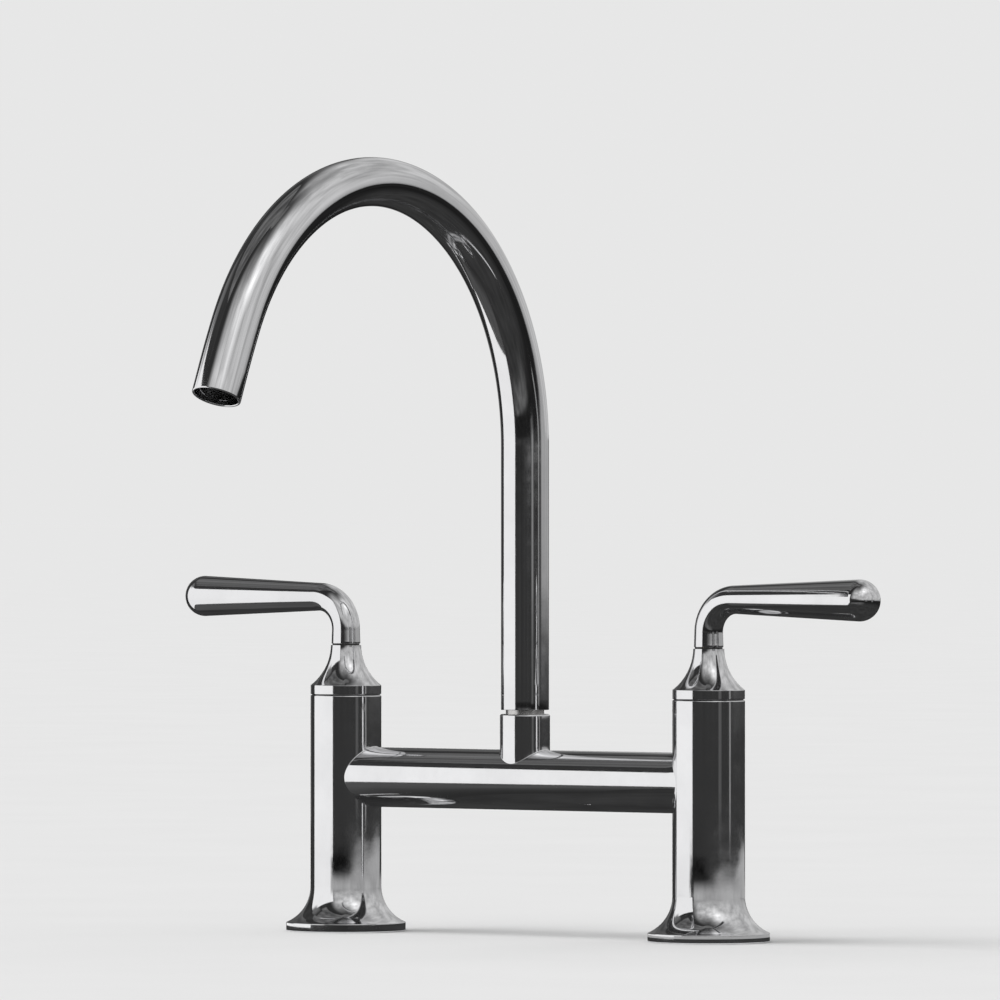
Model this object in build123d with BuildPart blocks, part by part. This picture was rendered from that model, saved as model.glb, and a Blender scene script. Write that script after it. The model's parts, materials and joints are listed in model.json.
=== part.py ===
from build123d import *
import os
from math import acos, asin, atan2, cos, degrees, radians, sin, sqrt

# Bridge kitchen faucet in millimetres.
# +Z is up and X runs along the bridge. The spout reaches over -Y, the user's side.
# The origin lies on the deck, midway between the two columns.

SIDES = {"left": -1, "right": 1}

# Fits and clearances
braze_gap = 0.05            # radial room for solder, or for a thread modelled plain
running_fit = 0.05          # radial play of parts that turn in each other
seal_play = 0.02            # rest of an O-ring's squeeze, left as play
film = 0.02                 # water film between the ceramic discs
free_gap = 0.3              # room round parts that pass without touching
same_size = 1e-3            # two radii this close are the same edge

# Columns
hole_centres = 203.2        # the two deck holes, 8 inches apart
column_dia = 33.1
column_height = 110.2
column_edge = 0.5
flange_dia = 55.8
flange_rim = 4.1            # upright edge of the flange
flange_cove = 18.2          # radius of the sweep from flange to column
flange_edge = 0.4

# Water way inside a column
inlet_dia = 18.63           # G 1/2 socket at its minor diameter
inlet_depth = 16.0
waterway_dia = 11.0
chamber_dia = 24.0
valve_thread_dia = 26.2
valve_thread_length = 12.0
hex_recess_dia = 28.6
hex_recess_depth = 8.2

# Flat ring that seals a flange to the deck
gasket_dia = 50.0
gasket_width = 5.0
gasket_thickness = 1.5

# Bridge tube and the collar that carries the spout
bridge_height = 72.1        # bridge axis above the deck
bridge_dia = 27.8
bridge_bore_dia = 18.0
bridge_spigot_dia = 22.0
collar_dia = 23.1
collar_rise = 30.4          # bridge axis to the collar's top
collar_edge = 0.8
collar_pilot_dia = 19.8
collar_floor = 3.5          # ledge under the swivel washer
collar_water_dia = 13.0
socket_dia = 17.8
socket_depth = 17.0
washer_thickness = 0.8
collar_screw_drop = 8.0     # retaining screw below the collar's top

# Spout
spout_dia = 22.2
spout_wall = 1.5
spout_groove = 2.0          # open groove between collar and spout
riser_length = 121.5        # straight stretch below the bend
spout_bend = 118.95
spout_bend_sweep = 153.2
spout_ease = 400.0          # last, flatter stretch of the bend
spout_ease_sweep = 3.4
spout_tail = 12.6
spout_lip = 0.55
mouth_dia = 19.7            # counterbore of the outlet, before the stream former
mouth_depth = 7.7
spigot_bore_dia = 12.6
spigot_plug_length = 12.0
retaining_groove_dia = 14.8
retaining_groove_width = 4.6
spout_o_ring_section = 1.6
spout_o_ring_drops = {"upper": 3.6, "lower": 12.6}

# Stream former inside the outlet
aerator_recess = 8.0
aerator_length = 9.0
aerator_wall = 1.0
aerator_seal_thickness = 1.5
aerator_seal_width = 2.2
aerator_hole_dia = 1.5
aerator_hole_rings = {3.0: 6, 6.0: 12}     # ring radius: holes

# Ceramic valve
base_seal_thickness = 1.5
base_seal_bore_dia = 14.6
disc_dia = 18.6
disc_thickness = 3.5
port_ring_dia = 10.4
port_width = 3.8
port_length = 7.4
cage_dia = 23.2
window_height = 9.0
window_width = 13.0
mixing_gap = 2.1            # from the moving disc up to the windows
hex_across_flats = 24.0
hex_thickness = 6.2
boss_dia = 21.0
boss_reach = 5.4            # thread for the cap, above the column
spindle_dia = 10.0
spindle_foot_dia = 18.0
spindle_foot = 3.6
dog_ring_dia = 14.8
dog_width = 3.0
dog_thickness = 2.4
dog_depth = 1.5             # reach of the dogs into the moving disc
spindle_o_ring_section = 1.3
spindle_o_ring_drop = 6.0   # below the top of the valve's hexagon
clip_dia = 15.0
clip_thickness = 1.0
clip_groove_dia = 8.8
clip_opening = 7.0
spline_root_dia = 7.4
spline_tooth = 0.4
spline_tooth_width = 0.6
spline_teeth = 20

# Bell cap over the valve
cap_gap = 0.4
cap_dia = 33.0
cap_rim = 4.2
cap_height = 22.9
cap_neck_dia = 14.1
cap_cove = 24.0
cap_edge = 0.25
cap_bore_dia = 10.8
cap_seal_inset = 0.2        # seal's edge behind the round of the column's top
dust_seal_dia = 12.6

# Lever handle
lever_gap = 0.7
lever_stem_dia = 13.4
lever_neck_dia = 13.0
lever_tip_dia = 19.0
lever_rise = 21.8           # foot of the stem to the axis of the arm
lever_bend = 15.0
lever_reach = 91.0          # column axis to the tip
lever_socket_depth = 11.8
lever_edge = 0.3
lever_screw_height = 4.4    # above the foot of the stem

# Grub screws
screw_dia = 4.0
screw_key = 2.0             # hexagon across flats
screw_key_depth = 1.6

# Heights and reaches that follow
half_centres = hole_centres / 2
column_r = column_dia / 2
flange_r = flange_dia / 2
cove_sweep = degrees(acos(1 - (flange_r - column_r) / flange_cove))
cove_top = flange_rim + flange_cove * sin(radians(cove_sweep))
window_bottom = bridge_height - window_height / 2
window_top = bridge_height + window_height / 2
moving_disc_top = window_bottom - mixing_gap
moving_disc_bottom = moving_disc_top - disc_thickness
fixed_disc_top = moving_disc_bottom - film
cage_bottom = fixed_disc_top - disc_thickness
seat_height = cage_bottom - base_seal_thickness
hex_bottom = column_height - hex_recess_depth
hex_top = hex_bottom + hex_thickness
thread_bottom = hex_bottom - valve_thread_length
boss_top = column_height + boss_reach
foot_bottom = window_top + free_gap
foot_top = foot_bottom + spindle_foot
clip_bottom = boss_top + running_fit
cap_bottom = column_height + cap_gap
cap_top = cap_bottom + cap_height
cap_cavity_top = clip_bottom + clip_thickness + 2 * free_gap
lever_foot = cap_top + lever_gap
arm_height = lever_foot + lever_rise
spindle_top = lever_foot + lever_socket_depth - free_gap
collar_top = bridge_height + collar_rise
spout_foot = collar_top + spout_groove
spout_bend_height = spout_foot + riser_length
socket_floor = collar_top - socket_depth
spigot_foot = socket_floor + washer_thickness
collar_screw_height = collar_top - collar_screw_drop
spigot_r = socket_dia / 2 - running_fit
spout_o_ring_floor_r = socket_dia / 2 - spout_o_ring_section - 2 * seal_play
spindle_o_ring_floor_r = spindle_dia / 2 + running_fit - spindle_o_ring_section - 2 * seal_play
spindle_o_ring_height = hex_top - spindle_o_ring_drop
spout_bore_r = spout_dia / 2 - spout_wall


def outward_plane(side):
    """Upright plane through a column's axis: local x points outward, local y up."""
    return Plane(origin=(side * half_centres, 0, 0), x_dir=(side, 0, 0), z_dir=(0, -side, 0))


def level_plane(side, height):
    """Level plane centred on a column's axis, with local x pointing outward."""
    return Plane(origin=(side * half_centres, 0, height), x_dir=(side, 0, 0), z_dir=(0, 0, 1))


def column_axis(side):
    return Axis((side * half_centres, 0, 0), (0, 0, 1))


def on_arc(centre, radius, angle):
    """Point of an arc in a sketch plane, angle in degrees."""
    return (centre[0] + radius * cos(radians(angle)), centre[1] + radius * sin(radians(angle)))


def rounds(part, radius):
    """Full circles of one radius on a part, from the lowest up."""
    full = part.edges().filter_by(GeomType.CIRCLE).filter_by(lambda edge: edge.is_closed)
    return full.filter_by(lambda edge: abs(edge.radius - radius) < same_size).sort_by(Axis.Z)


def ring(outer_r, inner_r):
    """Ring in the sketch that is open."""
    Circle(outer_r)
    Circle(inner_r, mode=Mode.SUBTRACT)


def save(part, name):
    part.label = name
    export_step(part, f"parts/{name}.step")


# Columns -------------------------------------------------------------------------------

def make_column(side):
    """Turned column with a coved flange, an inlet socket below and the valve chamber above."""
    port_face = Plane(origin=(side * half_centres, 0, bridge_height), z_dir=(-side, 0, 0))
    with BuildPart() as column:
        with BuildSketch(outward_plane(side)):
            with BuildLine():
                Polyline((0, 0), (flange_r, 0), (flange_r, flange_rim))
                CenterArc((column_r + flange_cove, cove_top), flange_cove, 180, cove_sweep)
                Polyline((column_r, cove_top), (column_r, column_height), (0, column_height), (0, 0))
            make_face()
        revolve(axis=column_axis(side))
        fillet(rounds(column, flange_r)[-1], flange_edge)
        fillet(rounds(column, column_r)[-1], column_edge)
        with BuildSketch(outward_plane(side)):
            with BuildLine():
                Polyline(
                    (0, 0),
                    (inlet_dia / 2, 0),
                    (inlet_dia / 2, inlet_depth),
                    (waterway_dia / 2, inlet_depth),
                    (waterway_dia / 2, seat_height),
                    (chamber_dia / 2, seat_height),
                    (chamber_dia / 2, thread_bottom),
                    (valve_thread_dia / 2, thread_bottom),
                    (valve_thread_dia / 2, hex_bottom),
                    (hex_recess_dia / 2, hex_bottom),
                    (hex_recess_dia / 2, column_height),
                    (0, column_height),
                    close=True,
                )
            make_face()
        revolve(axis=column_axis(side), mode=Mode.SUBTRACT)
        with BuildSketch(port_face):
            Circle(bridge_spigot_dia / 2)
        extrude(amount=column_dia, mode=Mode.SUBTRACT)
        with BuildSketch(level_plane(side, 0)):
            ring(gasket_dia / 2 + free_gap, gasket_dia / 2 - gasket_width - free_gap)
        extrude(amount=gasket_thickness, mode=Mode.SUBTRACT)
    return column.part


def make_deck_gasket(side):
    """Flat ring in the groove of the flange, level with its underside."""
    with BuildPart() as gasket:
        with BuildSketch(level_plane(side, 0)):
            ring(gasket_dia / 2, gasket_dia / 2 - gasket_width)
        extrude(amount=gasket_thickness)
    return gasket.part


# Ceramic valve -------------------------------------------------------------------------

def make_base_seal(side):
    """Rubber ring between the valve and its seat. It also carries the fixed disc."""
    with BuildPart() as seal:
        with BuildSketch(level_plane(side, seat_height)):
            ring(cage_dia / 2, base_seal_bore_dia / 2)
        extrude(amount=base_seal_thickness)
    return seal.part


def make_cartridge_body(side):
    """Brass valve body: cage with two windows, thread, hexagon and a boss for the cap."""
    thread_r = valve_thread_dia / 2 - braze_gap
    with BuildPart() as body:
        with BuildSketch(outward_plane(side)):
            with BuildLine():
                Polyline(
                    (0, cage_bottom),
                    (cage_dia / 2, cage_bottom),
                    (cage_dia / 2, thread_bottom + free_gap),
                    (thread_r, thread_bottom + free_gap),
                    (thread_r, hex_bottom),
                    (boss_dia / 2, hex_bottom),
                    (boss_dia / 2, boss_top),
                    (0, boss_top),
                    close=True,
                )
            make_face()
        revolve(axis=column_axis(side))
        with BuildSketch(level_plane(side, hex_bottom)):
            RegularPolygon(hex_across_flats / 2, 6, major_radius=False)
        extrude(amount=hex_thickness)
        with BuildSketch(level_plane(side, cage_bottom)):
            Circle(disc_dia / 2 + running_fit)
        extrude(amount=foot_top + film - cage_bottom, mode=Mode.SUBTRACT)
        with BuildSketch(level_plane(side, cage_bottom)):
            Circle(spindle_dia / 2 + running_fit)
        extrude(amount=boss_top - cage_bottom, mode=Mode.SUBTRACT)
        with BuildSketch(Plane(origin=(side * half_centres, 0, bridge_height), z_dir=(side, 0, 0))):
            Rectangle(window_height, window_width)
        extrude(amount=cage_dia, both=True, mode=Mode.SUBTRACT)
    return body.part


def make_fixed_disc(side):
    """Lower ceramic disc, still in the cage, with its two ports at front and back."""
    with BuildPart() as disc:
        with BuildSketch(level_plane(side, cage_bottom)):
            Circle(disc_dia / 2)
            with PolarLocations(port_ring_dia / 2, 2, start_angle=90):
                SlotOverall(port_length, port_width, rotation=90, mode=Mode.SUBTRACT)
        extrude(amount=disc_thickness)
    return disc.part


def dog_outline(clearance=0.0):
    """Section of the two driving dogs, or of the notches that take them."""
    with PolarLocations(dog_ring_dia / 2, 2, start_angle=90):
        Rectangle(dog_thickness + 2 * clearance, dog_width + 2 * clearance)


def make_moving_disc(side):
    """Upper ceramic disc. Closed, its ports stand a quarter turn from the fixed ones."""
    with BuildPart() as disc:
        with BuildSketch(level_plane(side, moving_disc_bottom)):
            Circle(disc_dia / 2)
            with PolarLocations(port_ring_dia / 2, 2):
                SlotOverall(port_length, port_width, rotation=90, mode=Mode.SUBTRACT)
        extrude(amount=disc_thickness)
        with BuildSketch(level_plane(side, moving_disc_top)):
            dog_outline(running_fit)
        extrude(amount=-dog_depth, mode=Mode.SUBTRACT)
    return disc.part


def spline_section(clearance=0.0):
    """Toothed section of the spindle's top, or of the lever's socket with a clearance."""
    Circle(spline_root_dia / 2 + clearance)
    with PolarLocations(spline_root_dia / 2, spline_teeth):
        Rectangle(2 * (spline_tooth + clearance), spline_tooth_width + 2 * clearance)


def make_spindle(side):
    """Brass spindle: two dogs that drive the disc, foot, round shaft and splined top."""
    with BuildPart() as spindle:
        with BuildSketch(level_plane(side, foot_bottom)):
            Circle(spindle_foot_dia / 2)
        extrude(amount=spindle_foot)
        with BuildSketch(level_plane(side, foot_top)):
            Circle(spindle_dia / 2)
        extrude(amount=cap_top - foot_top)
        with BuildSketch(level_plane(side, cap_top)):
            spline_section()
        extrude(amount=spindle_top - cap_top)
        with BuildSketch(level_plane(side, moving_disc_top - dog_depth + film)):
            dog_outline()
        extrude(amount=foot_bottom - moving_disc_top + dog_depth - film)
        with BuildSketch(level_plane(side, spindle_o_ring_height)):
            ring(spindle_dia / 2, spindle_o_ring_floor_r)
        extrude(amount=spindle_o_ring_section / 2 + running_fit, both=True, mode=Mode.SUBTRACT)
        with BuildSketch(level_plane(side, clip_bottom + clip_thickness / 2)):
            ring(spindle_dia / 2, clip_groove_dia / 2)
        extrude(amount=clip_thickness / 2 + seal_play, both=True, mode=Mode.SUBTRACT)
    return spindle.part


def make_o_ring(upright, height, floor_r, section):
    """O-ring round the upright plane's middle line, on the floor of its groove."""
    with BuildPart() as ring:
        with BuildSketch(upright):
            with Locations((floor_r + seal_play + section / 2, height)):
                Circle(section / 2)
        revolve(axis=Axis(upright.origin, upright.y_dir))
    return ring.part


def make_spindle_clip(side):
    """Open retaining clip that keeps the spindle down in the valve body."""
    with BuildPart() as clip:
        with BuildSketch(level_plane(side, clip_bottom)):
            ring(clip_dia / 2, clip_groove_dia / 2 + seal_play)
            with Locations((clip_dia / 2, 0)):
                Rectangle(clip_dia, clip_opening, mode=Mode.SUBTRACT)
        extrude(amount=clip_thickness)
    return clip.part


# Bell cap and lever --------------------------------------------------------------------

def make_cap(side):
    """Bell-shaped cap: upright rim, hollow cove up to a slim neck, screwed on the boss."""
    rim_top = (cap_dia / 2, cap_bottom + cap_rim)
    neck_top = (cap_neck_dia / 2, cap_top)
    with BuildPart() as cap:
        with BuildSketch(outward_plane(side)):
            with BuildLine():
                Polyline((0, cap_bottom), (cap_dia / 2, cap_bottom), rim_top)
                RadiusArc(rim_top, neck_top, cap_cove)
                Polyline(neck_top, (0, cap_top), (0, cap_bottom))
            make_face()
        revolve(axis=column_axis(side))
        fillet(rounds(cap, cap_dia / 2), cap_edge)
        with BuildSketch(level_plane(side, cap_bottom)):
            Circle(boss_dia / 2 + braze_gap)
        extrude(amount=cap_cavity_top - cap_bottom, mode=Mode.SUBTRACT)
        with BuildSketch(level_plane(side, cap_bottom)):
            Circle(cap_bore_dia / 2)
        extrude(amount=cap_height, mode=Mode.SUBTRACT)
    return cap.part


def make_cap_seal(side):
    """Flat rubber ring between a column's top and its cap."""
    with BuildPart() as seal:
        with BuildSketch(level_plane(side, column_height)):
            ring(column_r - column_edge - cap_seal_inset, hex_recess_dia / 2 + free_gap)
        extrude(amount=cap_gap)
    return seal.part


def make_dust_seal(side):
    """Thin rubber ring on the cap's neck that closes the gap under the lever."""
    with BuildPart() as seal:
        with BuildSketch(level_plane(side, cap_top)):
            ring(dust_seal_dia / 2, cap_bore_dia / 2)
        extrude(amount=lever_gap - running_fit)
    return seal.part


def make_lever(side):
    """Bent lever: waisted stem, quarter bend and an arm that swells to a domed tip."""
    bend_centre = (lever_bend, arm_height - lever_bend)
    neck_r = lever_neck_dia / 2
    tip_r = lever_tip_dia / 2
    dome_centre_x = lever_reach - tip_r
    # The arm's side leaves the bend at the neck's radius and runs tangent into the dome.
    centre_away = sqrt((dome_centre_x - lever_bend) ** 2 + neck_r ** 2)
    side_angle = degrees(asin(tip_r / centre_away) - atan2(neck_r, dome_centre_x - lever_bend))
    dome_start = on_arc((dome_centre_x, arm_height), tip_r, 90 + side_angle)
    tip = (lever_reach, arm_height)
    with BuildPart() as lever:
        with BuildSketch(level_plane(side, lever_foot)):
            Circle(lever_stem_dia / 2)
        with BuildSketch(level_plane(side, arm_height - lever_bend)):
            Circle(neck_r)
        loft()
        with BuildLine(outward_plane(side)) as bend:
            CenterArc(bend_centre, lever_bend, 180, -90)
        with BuildSketch(level_plane(side, arm_height - lever_bend)):
            Circle(neck_r)
        sweep(path=bend.wires()[0])
        with BuildSketch(outward_plane(side)):
            with BuildLine():
                Polyline((lever_bend, arm_height), (lever_bend, arm_height + neck_r), dome_start)
                CenterArc((dome_centre_x, arm_height), tip_r, 90 + side_angle, -90 - side_angle)
                Line(tip, (lever_bend, arm_height))
            make_face()
        revolve(axis=Axis((side * (half_centres + lever_bend), 0, arm_height), (side, 0, 0)))
        fillet(rounds(lever, lever_stem_dia / 2)[0], lever_edge)
        with BuildSketch(level_plane(side, lever_foot)):
            spline_section(running_fit)
        extrude(amount=lever_socket_depth, mode=Mode.SUBTRACT)
        with BuildSketch(screw_plane(side * half_centres, lever_foot + lever_screw_height)):
            Circle(screw_dia / 2 + braze_gap)
        extrude(amount=lever_stem_dia, mode=Mode.SUBTRACT)
    return lever.part


# Grub screws ---------------------------------------------------------------------------

def screw_plane(x, height):
    """Upright plane through a screw's line: the screw points forward, its head to the rear."""
    return Plane(origin=(x, 0, height), x_dir=(-1, 0, 0), z_dir=(0, 1, 0))


def make_grub_screw(x, height, tip, head):
    """Headless screw with a hexagon socket, from its tip to its flush rear end."""
    with BuildPart() as screw:
        with BuildSketch(screw_plane(x, height).offset(tip)):
            Circle(screw_dia / 2)
        extrude(amount=head - tip)
        with BuildSketch(screw_plane(x, height).offset(head)):
            RegularPolygon(screw_key / 2, 6, major_radius=False)
        extrude(amount=-screw_key_depth, mode=Mode.SUBTRACT)
    return screw.part


# Bridge and collar ---------------------------------------------------------------------

def make_bridge_tube():
    """Horizontal tube, coped to both columns, with a turned spigot into each."""
    spigot_reach = half_centres - chamber_dia / 2 - free_gap
    start = Plane(origin=(-half_centres, 0, bridge_height), z_dir=(1, 0, 0))
    with BuildPart() as bridge:
        with BuildSketch(start):
            Circle(bridge_dia / 2)
        extrude(amount=hole_centres)
        with Locations((-half_centres, 0, bridge_height), (half_centres, 0, bridge_height)):
            Cylinder(column_r + braze_gap, 2 * bridge_dia, mode=Mode.SUBTRACT)
        with BuildSketch(start.offset(half_centres - spigot_reach)):
            Circle(bridge_spigot_dia / 2 - braze_gap)
        extrude(amount=2 * spigot_reach)
        with BuildSketch(start):
            Circle(bridge_bore_dia / 2)
        extrude(amount=hole_centres, mode=Mode.SUBTRACT)
        with BuildSketch(Plane.XY.offset(bridge_height)):
            Circle(collar_pilot_dia / 2 + braze_gap)
        extrude(amount=bridge_dia, mode=Mode.SUBTRACT)
    return bridge.part


def make_spout_collar():
    """Short upright socket, coped to the bridge, in which the spout turns."""
    pilot_foot = socket_floor - collar_floor
    with BuildPart() as collar:
        with BuildSketch(Plane.XY.offset(bridge_height)):
            Circle(collar_dia / 2)
        extrude(amount=collar_top - bridge_height)
        with Locations((0, 0, bridge_height)):
            Cylinder(bridge_dia / 2 + braze_gap, 2 * collar_dia, rotation=(0, 90, 0), mode=Mode.SUBTRACT)
        with BuildSketch(Plane.XY.offset(pilot_foot)):
            Circle(collar_pilot_dia / 2)
        extrude(amount=collar_top - collar_edge - pilot_foot)
        fillet(rounds(collar, collar_dia / 2)[-1], collar_edge)
        with BuildSketch(Plane.XY.offset(pilot_foot)):
            Circle(collar_water_dia / 2)
        extrude(amount=collar_top - pilot_foot, mode=Mode.SUBTRACT)
        with BuildSketch(Plane.XY.offset(socket_floor)):
            Circle(socket_dia / 2)
        extrude(amount=socket_depth, mode=Mode.SUBTRACT)
        with BuildSketch(screw_plane(0, collar_screw_height)):
            Circle(screw_dia / 2 + braze_gap)
        extrude(amount=collar_dia, mode=Mode.SUBTRACT)
    return collar.part


def make_swivel_washer():
    """Plastic washer on the collar's ledge, under the foot of the spout's spigot."""
    with BuildPart() as washer:
        with BuildSketch(Plane.XY.offset(socket_floor)):
            ring(spigot_r, collar_water_dia / 2)
        extrude(amount=washer_thickness)
    return washer.part


# Spout ---------------------------------------------------------------------------------

# The spout's centre line lies in an upright plane: local x is the reach, local y the height.
spout_plane = Plane(origin=(0, 0, 0), x_dir=(0, -1, 0), z_dir=(-1, 0, 0))
bend_centre = (spout_bend, spout_bend_height)
bend_end_angle = 180 - spout_bend_sweep
bend_end = on_arc(bend_centre, spout_bend, bend_end_angle)
ease_centre = on_arc(bend_end, -spout_ease, bend_end_angle)
outlet_angle = bend_end_angle - spout_ease_sweep
ease_end = on_arc(ease_centre, spout_ease, outlet_angle)
outlet = on_arc(ease_end, spout_tail, outlet_angle - 90)
outlet_plane = Plane(
    origin=(0, -outlet[0], outlet[1]),
    x_dir=(1, 0, 0),
    z_dir=(0, -sin(radians(outlet_angle)), -cos(radians(outlet_angle))),
)


def make_spout_tube():
    """Gooseneck: upright riser, one large bend that flattens out, and a rounded lip."""
    with BuildPart() as spout:
        with BuildLine(spout_plane) as route:
            Line((0, spout_foot), (0, spout_bend_height))
            CenterArc(bend_centre, spout_bend, 180, -spout_bend_sweep)
            CenterArc(ease_centre, spout_ease, bend_end_angle, -spout_ease_sweep)
            Line(ease_end, outlet)
        with BuildSketch(Plane.XY.offset(spout_foot)):
            ring(spout_dia / 2, spout_bore_r)
        sweep(path=route.wires()[0])
        with BuildSketch(outlet_plane):
            Circle(mouth_dia / 2)
        extrude(amount=-mouth_depth, mode=Mode.SUBTRACT)
        rim = spout.faces().filter_by(GeomType.PLANE).sort_by(Axis.Y)[0]
        fillet(rim.edges(), spout_lip)
    return spout.part


def make_spout_spigot():
    """Turned brass spigot: plug brazed in the riser, slim neck, grooves for two O-rings."""
    plug_top = spout_foot + spigot_plug_length
    with BuildPart() as spigot:
        with BuildSketch(Plane.XY.offset(spigot_foot)):
            Circle(spigot_r)
        extrude(amount=plug_top - spigot_foot)
        with BuildSketch(Plane.XY.offset(spout_foot)):
            Circle(spout_bore_r - braze_gap)
        extrude(amount=spigot_plug_length)
        for drop in spout_o_ring_drops.values():
            with BuildSketch(Plane.XY.offset(collar_top - drop)):
                ring(spigot_r, spout_o_ring_floor_r)
            extrude(amount=spout_o_ring_section / 2 + running_fit, both=True, mode=Mode.SUBTRACT)
        with BuildSketch(Plane.XY.offset(collar_screw_height)):
            ring(spigot_r, retaining_groove_dia / 2)
        extrude(amount=retaining_groove_width / 2, both=True, mode=Mode.SUBTRACT)
        with BuildSketch(Plane.XY.offset(spigot_foot)):
            Circle(spigot_bore_dia / 2)
        extrude(amount=plug_top - spigot_foot, mode=Mode.SUBTRACT)
    return spigot.part


def make_aerator_housing():
    """Threaded ring, recessed in the outlet so that the spout looks open."""
    with BuildPart() as housing:
        with BuildSketch(outlet_plane.offset(-aerator_recess)):
            ring(spout_bore_r - braze_gap, spout_bore_r - braze_gap - aerator_wall)
        extrude(amount=-aerator_length)
    return housing.part


def make_aerator_insert():
    """Plastic stream former with rings of holes, held in the aerator's housing."""
    with BuildPart() as insert:
        with BuildSketch(outlet_plane.offset(-aerator_recess)):
            Circle(spout_bore_r - braze_gap - aerator_wall - running_fit)
            Circle(aerator_hole_dia / 2, mode=Mode.SUBTRACT)
            for ring_radius, holes in aerator_hole_rings.items():
                with PolarLocations(ring_radius, holes):
                    Circle(aerator_hole_dia / 2, mode=Mode.SUBTRACT)
        extrude(amount=-aerator_length)
    return insert.part


def make_aerator_seal():
    """Rubber washer behind the aerator."""
    with BuildPart() as seal:
        with BuildSketch(outlet_plane.offset(-aerator_recess - aerator_length)):
            ring(spout_bore_r - free_gap, spout_bore_r - free_gap - aerator_seal_width)
        extrude(amount=-aerator_seal_thickness)
    return seal.part


# All the pieces ------------------------------------------------------------------------

os.makedirs("parts", exist_ok=True)

for name, side in SIDES.items():
    screw_x = side * half_centres
    screw_height = lever_foot + lever_screw_height
    screw_tip = spline_root_dia / 2 + spline_tooth + running_fit
    save(make_column(side), f"{name}_column")
    save(make_deck_gasket(side), f"{name}_deck_gasket")
    save(make_base_seal(side), f"{name}_valve_base_seal")
    save(make_fixed_disc(side), f"{name}_fixed_disc")
    save(make_moving_disc(side), f"{name}_moving_disc")
    save(make_cartridge_body(side), f"{name}_valve_body")
    save(make_spindle(side), f"{name}_spindle")
    save(make_o_ring(outward_plane(side), spindle_o_ring_height, spindle_o_ring_floor_r,
                     spindle_o_ring_section), f"{name}_spindle_o_ring")
    save(make_spindle_clip(side), f"{name}_spindle_clip")
    save(make_cap_seal(side), f"{name}_cap_seal")
    save(make_cap(side), f"{name}_bell_cap")
    save(make_dust_seal(side), f"{name}_dust_seal")
    save(make_lever(side), f"{name}_lever")
    save(make_grub_screw(screw_x, screw_height, screw_tip, lever_stem_dia / 2 - free_gap),
         f"{name}_lever_screw")

save(make_bridge_tube(), "bridge_tube")
save(make_spout_collar(), "spout_collar")
save(make_swivel_washer(), "swivel_washer")
save(make_grub_screw(0, collar_screw_height, retaining_groove_dia / 2 + free_gap,
                     collar_dia / 2 - free_gap), "collar_screw")
save(make_spout_tube(), "spout_tube")
save(make_spout_spigot(), "spout_spigot")
for level, drop in spout_o_ring_drops.items():
    save(make_o_ring(Plane.XZ, collar_top - drop, spout_o_ring_floor_r, spout_o_ring_section),
         f"{level}_spout_o_ring")
save(make_aerator_housing(), "aerator_housing")
save(make_aerator_insert(), "aerator_insert")
save(make_aerator_seal(), "aerator_seal")
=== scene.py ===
import json
from math import acos, asin, atan2, ceil, cos, degrees, exp, pi, radians, sin, sqrt

import bmesh
import bpy
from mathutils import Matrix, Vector


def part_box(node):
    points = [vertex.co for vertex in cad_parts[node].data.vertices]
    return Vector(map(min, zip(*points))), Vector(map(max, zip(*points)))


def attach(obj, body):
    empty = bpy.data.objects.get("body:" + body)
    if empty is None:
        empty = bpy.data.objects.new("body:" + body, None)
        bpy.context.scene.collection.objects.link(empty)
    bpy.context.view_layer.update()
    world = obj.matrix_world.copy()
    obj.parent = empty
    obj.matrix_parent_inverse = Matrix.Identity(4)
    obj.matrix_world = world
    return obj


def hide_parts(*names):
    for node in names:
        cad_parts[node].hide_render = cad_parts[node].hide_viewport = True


# Bridge kitchen faucet in metres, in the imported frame: +Z up, X along the bridge, -Y the user.
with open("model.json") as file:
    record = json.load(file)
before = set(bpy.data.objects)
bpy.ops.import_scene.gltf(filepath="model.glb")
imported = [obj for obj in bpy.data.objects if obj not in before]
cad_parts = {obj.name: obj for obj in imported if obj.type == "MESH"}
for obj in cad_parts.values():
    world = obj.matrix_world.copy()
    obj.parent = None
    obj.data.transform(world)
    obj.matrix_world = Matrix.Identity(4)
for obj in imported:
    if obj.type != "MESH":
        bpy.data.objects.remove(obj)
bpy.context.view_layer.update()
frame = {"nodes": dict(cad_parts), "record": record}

MM = 0.001
X_AXIS = Vector((1, 0, 0))
Y_AXIS = Vector((0, 1, 0))
UP = Vector((0, 0, 1))
SIDES = {"left": -1, "right": 1}

# Places that the frame gives
column_low, column_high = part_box("right_column")
bridge_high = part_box("bridge_tube")[1]
collar_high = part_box("spout_collar")[1]
cap_low, cap_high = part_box("right_bell_cap")
lever_low, lever_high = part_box("right_lever")
spout_low, spout_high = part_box("spout_tube")
half_centres = (column_low.x + column_high.x) / 2
flange_r = (column_high.x - column_low.x) / 2
column_top = column_high.z
bridge_r = bridge_high.y
bridge_height = bridge_high.z - bridge_r
collar_r = collar_high.y
collar_top = collar_high.z
cap_r = (cap_high.x - cap_low.x) / 2
cap_foot = cap_low.z
cap_top = cap_high.z
lever_foot = lever_low.z
lever_reach = lever_high.x - half_centres
lever_tip_r = lever_high.y
spout_foot = spout_low.z
spout_r = spout_high.y

# Column
column_r = 16.55 * MM
column_edge = 0.5 * MM
flange_rim = 4.1 * MM
flange_cove = 18.2 * MM
flange_edge = 0.4 * MM
flange_foot_edge = 0.2 * MM
inlet_r = 9.315 * MM
inlet_depth = 16.0 * MM
waterway_r = 5.5 * MM
seat_height = 55.5 * MM
chamber_r = 12.0 * MM
hex_recess_r = 14.3 * MM
hex_recess_depth = 8.2 * MM
gasket_groove = (19.7 * MM, 25.3 * MM)
gasket_groove_depth = 1.5 * MM

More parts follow.
